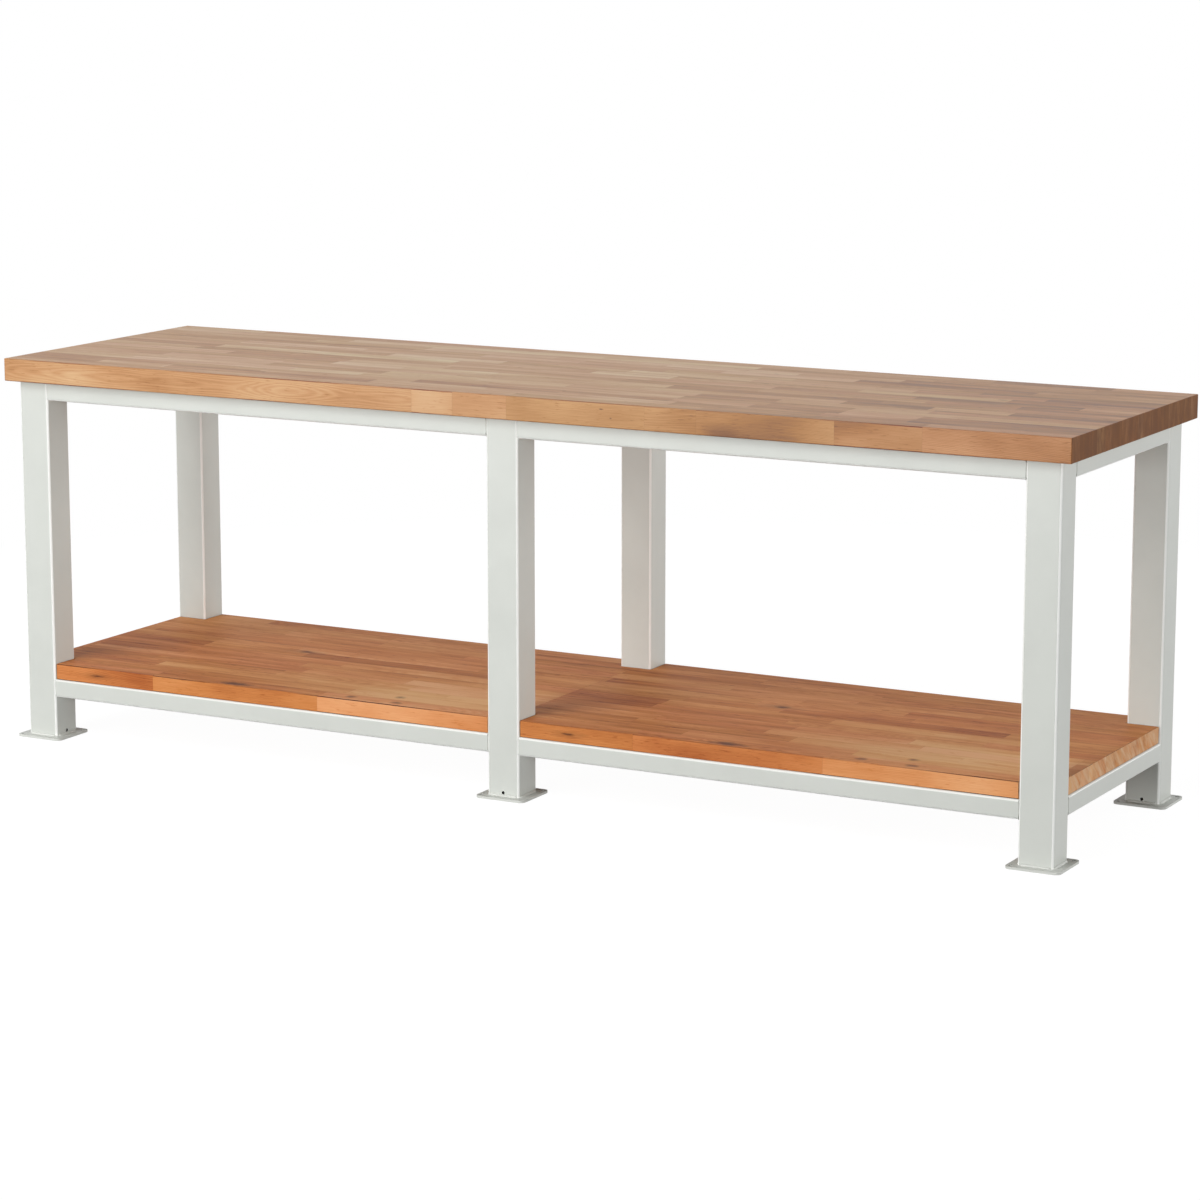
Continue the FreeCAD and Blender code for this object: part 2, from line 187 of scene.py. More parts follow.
under = add(sheet, "ShaderNodeNewGeometry").outputs["Backfacing"]
clear = add(sheet, "ShaderNodeBsdfTransparent")
both = add(sheet, "ShaderNodeMixShader", {0: under, 1: lit.outputs[0], 2: clear.outputs[0]})
add(sheet, "ShaderNodeOutputMaterial", {"Surface": both.outputs[0]})

floor_mesh = bpy.data.meshes.new("floor")
corners = [(-FLOOR_HALF, -FLOOR_HALF, 0), (FLOOR_HALF, -FLOOR_HALF, 0),
           (FLOOR_HALF, FLOOR_HALF, 0), (-FLOOR_HALF, FLOOR_HALF, 0)]
floor_mesh.from_pydata(corners, [], [(0, 1, 2, 3)])
floor_mesh.materials.append(white_sheet)
floor = bpy.data.objects.new("floor", floor_mesh)
scene.collection.objects.link(floor)
print("floor", 2 * FLOOR_HALF, "m square")

# %% [markdown]
# ## Painted steel
# The tubes are mild steel with a light grey powder coat: dry powder is sprayed on and melted in an oven. It
# flows into a satin skin with a faint orange peel, waves a millimetre or two from crest to crest. Along the
# bends of the tubes a pale grey is painted into the coat, a painted highlight for the line of light that each
# rounded corner catches, stronger on the legs than on the rails. A face that turns between the main
# directions is such a bend, so its normal tells where the line goes. The foot plates are hot-rolled, so there
# the coat lies duller. The walls of the drain hole at the foot of each leg are painted near black, a painted
# shade.

# %% Powder-coated mild steel
PEEL_MM = 4.0      # real peel is 1 to 2 mm, drawn coarser so that it shows at this distance
PEEL_DEPTH = 0.15 * mm
DRIFT_MM = 160.0   # from a paler area of the coat to the next
DRIFT_DARK, DRIFT_LIGHT = 0.3, 0.7   # values of that noise where the coat is darkest and palest
BEND_FULL, BEND_NONE = 0.92, 0.97   # largest part of the normal where a bend's painted highlight is full, and where it is none
# a pale grey painted on the bends as a painted highlight, and near black painted in the drain holes as a
# painted shade
HIGHLIGHT_GREY, HOLE_SHADE = "#F8F9F6", "#1F201F"
DRAIN_HEIGHT = 7.5 * mm   # the middle of a drain hole above the foot plate
HOLE_DEPTH = 3 * mm       # the wall that the hole goes through
HOLE_SHADE_REACH = 3.7 * mm     # the painted shade reaches this far from the middle of a hole


def powder_coat(name, dark, light, satin_low, satin_high, bend_highlight, holes=()):
    """A satin coat that drifts between two greys. The bend highlight is how strongly a painted highlight
    pales the bends. The walls of small holes get a painted shade, near black."""
    material = bpy.data.materials.new(name)
    material.use_nodes = True
    t = material.node_tree
    t.nodes.clear()
    place = add(t, "ShaderNodeTexCoord").outputs["Object"]
    peel = add(t, "ShaderNodeTexNoise", {"Vector": place, "Scale": 1 / (PEEL_MM * mm), "Detail": 2.0,
                                         "Roughness": 0.4}).outputs["Fac"]
    drift = add(t, "ShaderNodeTexNoise", {"Vector": place, "Scale": 1 / (DRIFT_MM * mm), "Detail": 4.0,
                                          "Roughness": 0.6}).outputs["Fac"]
    tint = add(t, "ShaderNodeValToRGB", {"Fac": drift})
    for stop, position, grey in zip(tint.color_ramp.elements, (DRIFT_DARK, DRIFT_LIGHT), (dark, light)):
        stop.position, stop.color = position, linear(grey)
    size = add(t, "ShaderNodeVectorMath", {0: add(t, "ShaderNodeNewGeometry").outputs["True Normal"]},
               operation="ABSOLUTE")
    size = add(t, "ShaderNodeSeparateXYZ", {0: size.outputs[0]})
    most = add(t, "ShaderNodeMath", {0: size.outputs[0], 1: size.outputs[1]}, operation="MAXIMUM")
    most = add(t, "ShaderNodeMath", {0: most.outputs[0], 1: size.outputs[2]}, operation="MAXIMUM")
    # painted highlight: faces that turn between the main directions, the bends, are mixed toward a pale grey
    bend = add(t, "ShaderNodeMapRange", {"Value": most.outputs[0], "From Min": BEND_FULL,
                                         "From Max": BEND_NONE, "To Min": bend_highlight, "To Max": 0.0})
    colour = add(t, "ShaderNodeMix", {0: bend.outputs[0], 6: tint.outputs["Color"], 7: linear(HIGHLIGHT_GREY)},
                 data_type="RGBA").outputs[2]
    # painted shade: the coat near the middle of each drain hole is mixed toward near black
    for hole in holes:
        near = add(t, "ShaderNodeVectorMath", {0: place, 1: hole}, operation="DISTANCE")
        in_hole_shade = add(t, "ShaderNodeMath", {0: near.outputs["Value"], 1: HOLE_SHADE_REACH}, operation="LESS_THAN")
        colour = add(t, "ShaderNodeMix", {0: in_hole_shade.outputs[0], 6: colour, 7: linear(HOLE_SHADE)},
                     data_type="RGBA").outputs[2]
    satin = add(t, "ShaderNodeMapRange", {"Value": peel, "To Min": satin_low, "To Max": satin_high})
    wave = add(t, "ShaderNodeBump", {"Height": peel, "Strength": 0.25, "Distance": PEEL_DEPTH})
    skin = add(t, "ShaderNodeBsdfPrincipled", {"Base Color": colour, "IOR": 1.5,
                                               "Roughness": satin.outputs[0], "Normal": wave.outputs[0]})
    add(t, "ShaderNodeOutputMaterial", {"Surface": skin.outputs[0]})
    return material


COLUMNS = ("left", "middle", "right")
drain_holes = []
for row in ("front", "rear"):
    for column in COLUMNS:
        low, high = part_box(f"leg_{row}_{column}")
        hole = (low + high) / 2
        hole.z = low.z + DRAIN_HEIGHT
        if row == "front" and column == "left":
            hole.x = high.x - HOLE_DEPTH / 2
        elif row == "front" and column == "right":
            hole.x = low.x + HOLE_DEPTH / 2
        else:
            hole.y = low.y + HOLE_DEPTH / 2
        drain_holes.append(hole)

# two greys, and the least and the most roughness
TUBE_COAT = ("#CACDC7", "#D0D3CD", 0.30, 0.40)
PLATE_COAT = ("#CBCDC7", "#D5D7D1", 0.42, 0.55)
# lighter greys than the tubes' under the same powder: a painted highlight on the beads, with a glossier coat
WELD_COAT_LIGHTENED = ("#D2D4CE", "#DDDFD9", 0.26, 0.38)
coated_leg = powder_coat("powder_coated_mild_steel", *TUBE_COAT, bend_highlight=1.0, holes=drain_holes)
coated_rail = powder_coat("powder_coated_light_tube", *TUBE_COAT, bend_highlight=0.6)
coated_plate = powder_coat("powder_coated_rolled_plate", *PLATE_COAT, bend_highlight=0.0)
coated_weld = powder_coat("powder_coated_weld", *WELD_COAT_LIGHTENED, bend_highlight=0.0)

legs = [name for name in nodes if name.startswith("leg_")]
rails = [name for name in nodes if "_rail_" in name and "weld" not in name]
plates = [name for name in nodes if name.startswith("foot_plate_")]
for names, coat in ((legs, coated_leg), (rails, coated_rail), (plates, coated_plate)):
    for name in names:
        for spot in nodes[name].material_slots:
            spot.material = coat
print("painted legs:", len(legs), "rails:", len(rails), "plates:", len(plates))

# %% [markdown]
# ## Weld beads
# Every tube end is joined by a fillet weld, a bead of melted steel in the corner between two faces. The
# welder moves the torch in small steps, so a bead is a row of overlapping ripples with rounded ends, and the
# paint goes over it. A straight prism would be enough for strength sums, but the eye looks for the ripples,
# so each bead is swept along its line with a bulging section whose size goes up and down every few
# millimetres. Where a rail is flush with a leg there is no corner, only the groove beside the leg's bend,
# and a smaller bead fills that.

# %% Helper: mesh object that rides on the bench
def piece_from_mesh(name, bm, material, replaced):
    """A finished piece of the bench, standing for the CAD nodes named."""
    mesh = bpy.data.meshes.new(name)
    bm.to_mesh(mesh)
    bm.free()
    mesh.materials.append(material)
    piece = bpy.data.objects.new(name, mesh)
    scene.collection.objects.link(piece)
    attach(piece, "root")
    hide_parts(*replaced)
    return piece


print("new pieces ride on root and stand for CAD nodes")

# %% Helper: one rippled bead
WELD_SEED = 7
WELD_LEG = 4 * mm
RIPPLE = 3.2 * mm
STEPS_PER_RIPPLE = 4
SECTION_POINTS = 6
END_SHARE = 0.45                        # a bead starts and ends at this share of its size
LEAST_SIZE, RIPPLE_SIZE = 0.90, 0.13    # its size between ripples, and what a ripple adds
WANDER, WANDER_LENGTH = 0.05, 11 * mm   # slow changes of its size along the line
RIPPLE_LEAN = 0.35                      # how far the crest of a ripple runs ahead, as a share of its length
FLATTENED = 0.20                        # how far the round section is pressed flat in the middle
rng = random.Random(WELD_SEED)


def weld_bead(bm, middle, along, first, second, length, leg=WELD_LEG):
    """A bead along a line: first and second are the faces' directions away from the corner."""
    middle, along, first, second = (Vector(v) for v in (middle, along, first, second))
    steps = round(length / RIPPLE) * STEPS_PER_RIPPLE
    phase = rng.uniform(0, math.tau)
    rings = []
    for step in range(steps + 1):
        part = step / steps
        from_end = min(part, 1 - part) * length
        taper = min(1.0, END_SHARE + (1 - END_SHARE) * math.sqrt(from_end / leg))
        ripple = 0.5 + 0.5 * math.cos(math.tau * step / STEPS_PER_RIPPLE)
        wander = WANDER * math.sin(phase + part * length / WANDER_LENGTH)
        size = leg * taper * (LEAST_SIZE + RIPPLE_SIZE * ripple + wander)
        lean = RIPPLE_LEAN * RIPPLE * taper
        ring = [middle + along * (part - 0.5) * length]
        for point in range(SECTION_POINTS + 1):
            turn = math.pi / 2 * point / SECTION_POINTS
            bulge = 1 - FLATTENED + FLATTENED * abs(math.cos(2 * turn))
            crest = lean * math.sin(2 * turn) * (1 if 0 < step < steps else 0)
            ring.append(middle + along * ((part - 0.5) * length + crest)
                        + (first * math.cos(turn) + second * math.sin(turn)) * size * bulge)
        rings.append([bm.verts.new(co) for co in ring])
    count = SECTION_POINTS + 2
    for one, two in zip(rings, rings[1:]):
        for i in range(count):
            j = (i + 1) % count
            face = bm.faces.new((one[i], one[j], two[j], two[i]))
            face.smooth = i not in (0, count - 1)
    bm.faces.new(rings[0])
    bm.faces.new(rings[-1])


print("ripple", RIPPLE / mm, "mm")

# %% Beads round the foot of each leg
LEG_CORNER = 6 * mm   # outer radius of the legs' bends
X, Y, Z = Vector((1, 0, 0)), Vector((0, 1, 0)), Vector((0, 0, 1))

for row in ("front", "rear"):
    for column in COLUMNS:
        low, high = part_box(f"leg_{row}_{column}")
        centre = (low + high) / 2
        centre.z = low.z
        length = high.x - low.x - 2 * LEG_CORNER
        bm = bmesh.new()
        for way in (1, -1):
            weld_bead(bm, centre + way * X * (high.x - low.x) / 2, Y, way * X, Z, length)
            weld_bead(bm, centre + way * Y * (high.y - low.y) / 2, X, way * Y, Z, length)
        bmesh.ops.recalc_face_normals(bm, faces=bm.faces)
        name = f"foot_weld_{row}_{column}"
        piece_from_mesh(f"{name}_rippled", bm, coated_weld, [name])
print("foot welds: 6 pieces of 4 beads")

# %% Beads at the ends of the rails
RAIL_CORNER = 5 * mm                           # outer radius of the rails' bends
GROOVE_ROOT, GROOVE_LEG = 3.8 * mm, 3.2 * mm   # how deep the bead in a groove starts, and its size


def rail_end_beads(bm, name, along, inner_ways):
    """Beads under both ends of a rail and up its sides. A side that is flush with a leg leaves a groove
    beside the leg's bend, and there the bead lies in the groove."""
    low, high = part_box(name)
    centre = (low + high) / 2
    across = Y if along.x else X
    half_length = abs((high - low).dot(along)) / 2
    half_width = abs((high - low).dot(across)) / 2
    half_height = (high.z - low.z) / 2
    for end in (1, -1):
        corner = centre + end * along * half_length
        weld_bead(bm, corner - Z * half_height, across, -end * along, -Z, 2 * (half_width - RAIL_CORNER))
        for way in (1, -1):
            side = corner + way * across * half_width
            length = 2 * (half_height - RAIL_CORNER)
            if way in inner_ways:
                weld_bead(bm, side, Z, -end * along, way * across, length)
            else:
                root = side - way * across * GROOVE_ROOT
                weld_bead(bm, root, Z, end * along, way * across, length, GROOVE_LEG)


for level in ("upper", "lower"):
    bm = bmesh.new()
    for row, inner in (("front", 1), ("rear", -1)):
        for side in ("left", "right"):
            rail_end_beads(bm, f"{level}_rail_{row}_{side}", X, [inner])
    for column, inner_ways in zip(COLUMNS, ([1], [1, -1], [-1])):
        rail_end_beads(bm, f"{level}_cross_rail_{column}", Y, inner_ways)
    bmesh.ops.recalc_face_normals(bm, faces=bm.faces)
    name = f"{level}_rail_welds"
    made = piece_from_mesh(f"{name}_rippled", bm, coated_weld, [name])
    print(made.name, [round(v, 4) for v in made.dimensions])

# %% [markdown]
# ## Wood screws
# Hexagon wood screws hold the top from below, inside the upper cross rails. They are zinc plated: thin bright
# metal, grey with a cool cast and a fine grain. Each has a chamfered head and a coarse thread, which is a
# disc swept up the shank whose radius follows a saw-tooth that turns once per pitch.

# %% Zinc-plated steel
GRAIN_MM = 0.8     # the plating's grain is finer, drawn coarser so that it shows

zinc = bpy.data.materials.new("zinc_plated_steel")
zinc.use_nodes = True
plate = zinc.node_tree
plate.nodes.clear()
place = add(plate, "ShaderNodeTexCoord").outputs["Object"]
grain = add(plate, "ShaderNodeTexNoise", {"Vector": place, "Scale": 1 / (GRAIN_MM * mm)}).outputs["Fac"]
bright = add(plate, "ShaderNodeValToRGB", {"Fac": grain})
bright.color_ramp.elements[0].color = linear("#A9AEB2")
bright.color_ramp.elements[1].color = linear("#C6CBCF")
dull = add(plate, "ShaderNodeMapRange", {"Value": grain, "To Min": 0.28, "To Max": 0.45})
metal = add(plate, "ShaderNodeBsdfPrincipled", {"Base Color": bright.outputs["Color"], "Metallic": 1.0,
                                                "Roughness": dull.outputs[0]})
add(plate, "ShaderNodeOutputMaterial", {"Surface": metal.outputs[0]})
print(zinc.name)

# %% Hexagon wood screws with their threads
HEAD_FLATS, HEAD_HEIGHT, HEAD_POINTS = 13 * mm, 5.5 * mm, 12
HEAD_CORNER = HEAD_FLATS / math.sqrt(3)   # from the middle of the head to a corner
ROUND_TOP, ROUND_SEAT = 0.94, 0.97     # the head's round ends, as a share of its flats
FLATS_FROM, FLATS_TO = 0.84, 0.12      # where its six flats start and end, as a share of its height
SHANK_RADIUS, SHANK_LENGTH, TIP_LENGTH = 4 * mm, 40 * mm, 7 * mm
PLAIN_LENGTH, TIP_RADIUS = 4 * mm, 0.2 * mm   # the neck without a thread, and the blunt point
PITCH, THREAD_DEPTH = 4 * mm, 1.1 * mm
TURN_POINTS, STEPS_PER_PITCH = 16, 6


def ring_of(bm, centre, z, radii):
    """A closed ring of points round an upright axis, one radius for each point."""
    count = len(radii)
    return [bm.verts.new((centre[0] + r * math.cos(math.tau * i / count),
                          centre[1] + r * math.sin(math.tau * i / count), z)) for i, r in enumerate(radii)]


def skin_rings(bm, rings):
    """Faces between rings that follow each other, closed at both ends."""
    for one, two in zip(rings, rings[1:]):
        for i in range(len(one)):
            j = (i + 1) % len(one)
            bm.faces.new((one[i], one[j], two[j], two[i]))
    bm.faces.new(rings[0][::-1])
    bm.faces.new(rings[-1])


def wood_screw(bm, centre, seat):
    """A screw whose head's underside rests at the seat height, with its shank upwards."""
    hexagon = [HEAD_CORNER if i % 2 == 0 else HEAD_FLATS / 2 for i in range(HEAD_POINTS)]
    round_top = [HEAD_FLATS / 2 * ROUND_TOP] * HEAD_POINTS
    round_seat = [HEAD_FLATS / 2 * ROUND_SEAT] * HEAD_POINTS
    skin_rings(bm, [ring_of(bm, centre, seat - HEAD_HEIGHT, round_top),
                    ring_of(bm, centre, seat - HEAD_HEIGHT * FLATS_FROM, hexagon),
                    ring_of(bm, centre, seat - HEAD_HEIGHT * FLATS_TO, hexagon),
                    ring_of(bm, centre, seat, round_seat)])
    steps = round(SHANK_LENGTH / PITCH * STEPS_PER_PITCH)
    rings = []
    for step in range(steps + 1):
        up = SHANK_LENGTH * step / steps
        point = min(1.0, (SHANK_LENGTH - up) / TIP_LENGTH)
        radii = []
        for i in range(TURN_POINTS):
            saw = (up / PITCH - i / TURN_POINTS) % 1.0
            depth = THREAD_DEPTH * (1 - abs(2 * saw - 1)) if up > PLAIN_LENGTH else 0
            radii.append(max(TIP_RADIUS, (SHANK_RADIUS - depth) * point))
        rings.append(ring_of(bm, centre, seat + up, radii))
    skin_rings(bm, rings)


low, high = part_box("worktop_screws")
seat = low.z + HEAD_HEIGHT
bm = bmesh.new()
for x in (low.x + HEAD_CORNER, 0, high.x - HEAD_CORNER):
    for y in (low.y + HEAD_FLATS / 2, high.y - HEAD_FLATS / 2):
        wood_screw(bm, (x, y), seat)
bmesh.ops.recalc_face_normals(bm, faces=bm.faces)
made = piece_from_mesh("worktop_screws_threaded", bm, zinc, ["worktop_screws"])
print("screw box", [round(v, 4) for v in made.dimensions], "CAD", [round(v, 4) for v in high - low])

# %% [markdown]
# ## Beech, glued from staves
# The top and the shelf boards are solid beech. Sawn strips, called staves, are planed, glued side by side and
# end to end, and the slab is then planed and oiled. So a board is a brickwork of staves about 45 mm wide and
# 170 to 450 mm long, each cut from another place of another log, with its own tone and its own rings. A flat
# texture could paint that on the top alone. Here the mesh itself is cut along the glue joints, and each face
# carries the facts of its stave, so top, edges and ends agree with each other.

# %% Helper: lay a row of staves
STAVE_SHORT, STAVE_LONG = 170 * mm, 450 * mm
LENGTH_SPREAD = (0.6, 1.4)   # how much shorter or longer a stave is than the mean of its gap
TONE_LEAST, TONE_MOST = 0.2, 0.85
LEAST_GAP = 1 * mm


def lay_row(rng, start, end, chosen, middle_tone, spread):
    """Staves (from, to, tone) that fill a row. The chosen ones stay, and chance fills the gaps."""
    staves, cursor = [], start
    for stop, upto, tone in sorted(chosen) + [(end, end, None)]:
        gap = stop - cursor
        count = max(1, round(gap / ((STAVE_SHORT + STAVE_LONG) / 2)))
        if gap > LEAST_GAP:
            shares = [rng.uniform(*LENGTH_SPREAD) for _ in range(count)]
            for share in shares:
                length = gap * share / sum(shares)
                chance = min(TONE_MOST, max(TONE_LEAST, rng.gauss(middle_tone, spread)))
                staves.append((cursor, cursor + length, chance))
                cursor += length
        if tone is not None:
            staves.append((stop, upto, tone))
            cursor = upto
    return staves


print("staves", STAVE_SHORT / mm, "to", STAVE_LONG / mm, "mm")

# %% Helper: a slab cut along its glue joints
BEYOND = 20 * mm   # outer staves reach this far past the slab, so that its own edges get no glue line
HAIR = 0.01 * mm   # slack that lets an outer face count as part of its row
SAME = 1e-7        # points nearer than this to a cut are on it
SEAM = 1 * mm      # edges this near to the middle of the bench meet the other board and stay sharp
SQUARE = 0.999     # a face whose normal has no part as large as this is an eased edge
HEART_AWAY = (35 * mm, 90 * mm)   # from the middle of a stave to the heart of its log
HEART_CLOSE = 8 * mm              # the same in an extra long stave, whose flames show best
EXTRA_LONG = STAVE_LONG + 50 * mm
FIGURE = (0.2, 0.7)               # how strongly the rings show in a stave
GRAIN_LEAN = 0.035                # how far the grain runs out of true along a stave
STAVE_FACTS = ("span", "side", "pith", "aim")   # ends and tone, sides and seed, heart, direction and figure


def glued_slab(outline, bottom, top, ease, rows, rng):
    """A slab with eased edges, cut into rows of staves that run along X."""
    bm = bmesh.new()
    arris = bm.faces.layers.float.new("arris")
    span, side, pith, aim = (bm.faces.layers.float_vector.new(f"stave_{word}") for word in STAVE_FACTS)
    base = bm.faces.new([bm.verts.new((x, y, bottom)) for x, y in outline])
    raised = bmesh.ops.extrude_face_region(bm, geom=[base])["geom"]
    for v in raised:
        if isinstance(v, bmesh.types.BMVert):
            v.co.z = top
    bmesh.ops.recalc_face_normals(bm, faces=bm.faces)
    open_edges = [e for e in bm.edges if any(abs(v.co.x) > SEAM for v in e.verts)]
    bmesh.ops.bevel(bm, geom=open_edges, offset=ease, segments=3, profile=0.5, affect="EDGES")
    bm.normal_update()
    for face in bm.faces:
        if max(abs(part) for part in face.normal) < SQUARE:
            face[arris], face.smooth = 1.0, True
    for low, _, _ in rows[1:]:
        bmesh.ops.bisect_plane(bm, geom=bm.verts[:] + bm.edges[:] + bm.faces[:], dist=SAME,
                               plane_co=(0, low, 0), plane_no=(0, 1, 0))
    for low, high, staves in rows:
        for start, _, _ in staves[1:]:
            mine = [f for f in bm.faces if low - HAIR < f.calc_center_bounds().y < high + HAIR]
            near = list({v for f in mine for v in f.verts}) + list({e for f in mine for e in f.edges}) + mine
            bmesh.ops.bisect_plane(bm, geom=near, dist=SAME, plane_co=(start, 0, 0), plane_no=(1, 0, 0))
    facts = {}
    for index, (low, high, staves) in enumerate(rows):
        for start, end, _ in staves:
            turn, away = rng.uniform(0, math.tau), rng.uniform(*HEART_AWAY)
            figure = rng.uniform(*FIGURE)
            if end - start > EXTRA_LONG:
                turn, away, figure = 0.0, HEART_CLOSE, FIGURE[1]
            heart = ((low + high) / 2 + away * math.cos(turn), (bottom + top) / 2 + away * math.sin(turn),
                     rng.uniform(-GRAIN_LEAN, GRAIN_LEAN))
            facts[index, start] = heart, (math.cos(turn), math.sin(turn), figure), rng.uniform(0, 1)
    y_low, y_high = rows[0][0], rows[-1][1]
    for face in bm.faces:
        middle = face.calc_center_bounds()
        index = min(range(len(rows)), key=lambda i: abs((rows[i][0] + rows[i][1]) / 2 - middle.y))
        low, high, staves = rows[index]
        start, end, tone = min(staves, key=lambda s: max(s[0] - middle.x, middle.x - s[1]))
        heart, direction, seed = facts[index, start]
        face[span] = (start if start > staves[0][0] else start - BEYOND,
                      end if end < staves[-1][1] else end + BEYOND, tone)
        face[side] = (low if low > y_low else low - BEYOND, high if high < y_high else high + BEYOND, seed)
        face[pith], face[aim] = heart, direction
    return bm


print("slabs are cut along their joints")

# %% [markdown]
# ## The look of beech
# Beech is an even wood: rings a few millimetres apart, fine fibres along the length, and short dark flecks,
# the rays cut across. Oil darkens it to honey and leaves a low sheen that pales the top where it is seen
# nearly edge on. The rings are a solid pattern, circles round the heart of the log that each stave came from,
# so an edge shows flames, a face shows streaks and an end shows arcs, without any unwrapping. All patterns
# only push one number, the tone of the wood at a point, and one ramp of colours turns it into wood.

# %% Planed and oiled beech
RING_MM = 2.4                            # from one growth ring to the next
# length, width and height of each pattern in mm. Real fibres and flecks are a fifth of this, drawn coarser so
# that they show, and wider across the top, which is seen nearly edge on
FIBRE_MM, STREAK_MM, FLECK_MM = (60.0, 6.0, 1.6), (260.0, 26.0, 110.0), (24.0, 8.0, 2.8)
FIBRE_DEPTH = 0.12 * mm
FLECK_FROM, FLECK_FULL = 0.60, 0.74      # only the peaks of that noise are flecks
# how far each pattern pushes the tone
RING_PUSH, FIBRE_PUSH, STREAK_PUSH, FLECK_PUSH = 0.12, 0.22, 0.60, -0.15
SEED_SPREAD = 9.0                        # how far apart staves take their patterns from the noises
SWAY_MM, SWAY_LONG_MM = 22.0, 420.0      # slow waves of the grain, which make flames where rings are cut flat
WOBBLE_SLOW = 0.10                       # the rings' own wobble is drawn out along the grain by this
WAVE_RING = 0.314                        # a wave texture of scale 1 has rings this far apart
PINKISH, YELLOWISH = "#FFF7FC", "#FDFFF6"
END_FROM, END_FULL = 0.25, 0.8           # how far a face has to look along the grain to be an end
SAW_MM, SAW_LONG_MM = 14.0, 60.0         # saw marks across an end
SAW_FROM, SAW_FULL = 0.35, 0.65
DIRT_FROM, DIRT_FULL = 0.38, 0.62        # where streaks start to dirty an eased edge, and dirty it fully
GLUE_LINE_MM, GLUE_SHARE = 0.5, 0.30     # how wide the line at a joint is, and how much it darkens the wood
GLUE_SHADE, KNOT_COLOUR = "#8A6A50", "#552A10"
KNOT_FRAY = 1.6                          # how ragged the rim of a knot is
KNOT_FULL, KNOT_EDGE = 1.1, 1.9          # where the rim starts to pale, and where it ends
POLISH_SPREAD, END_ROUGHNESS = 0.09, 0.95


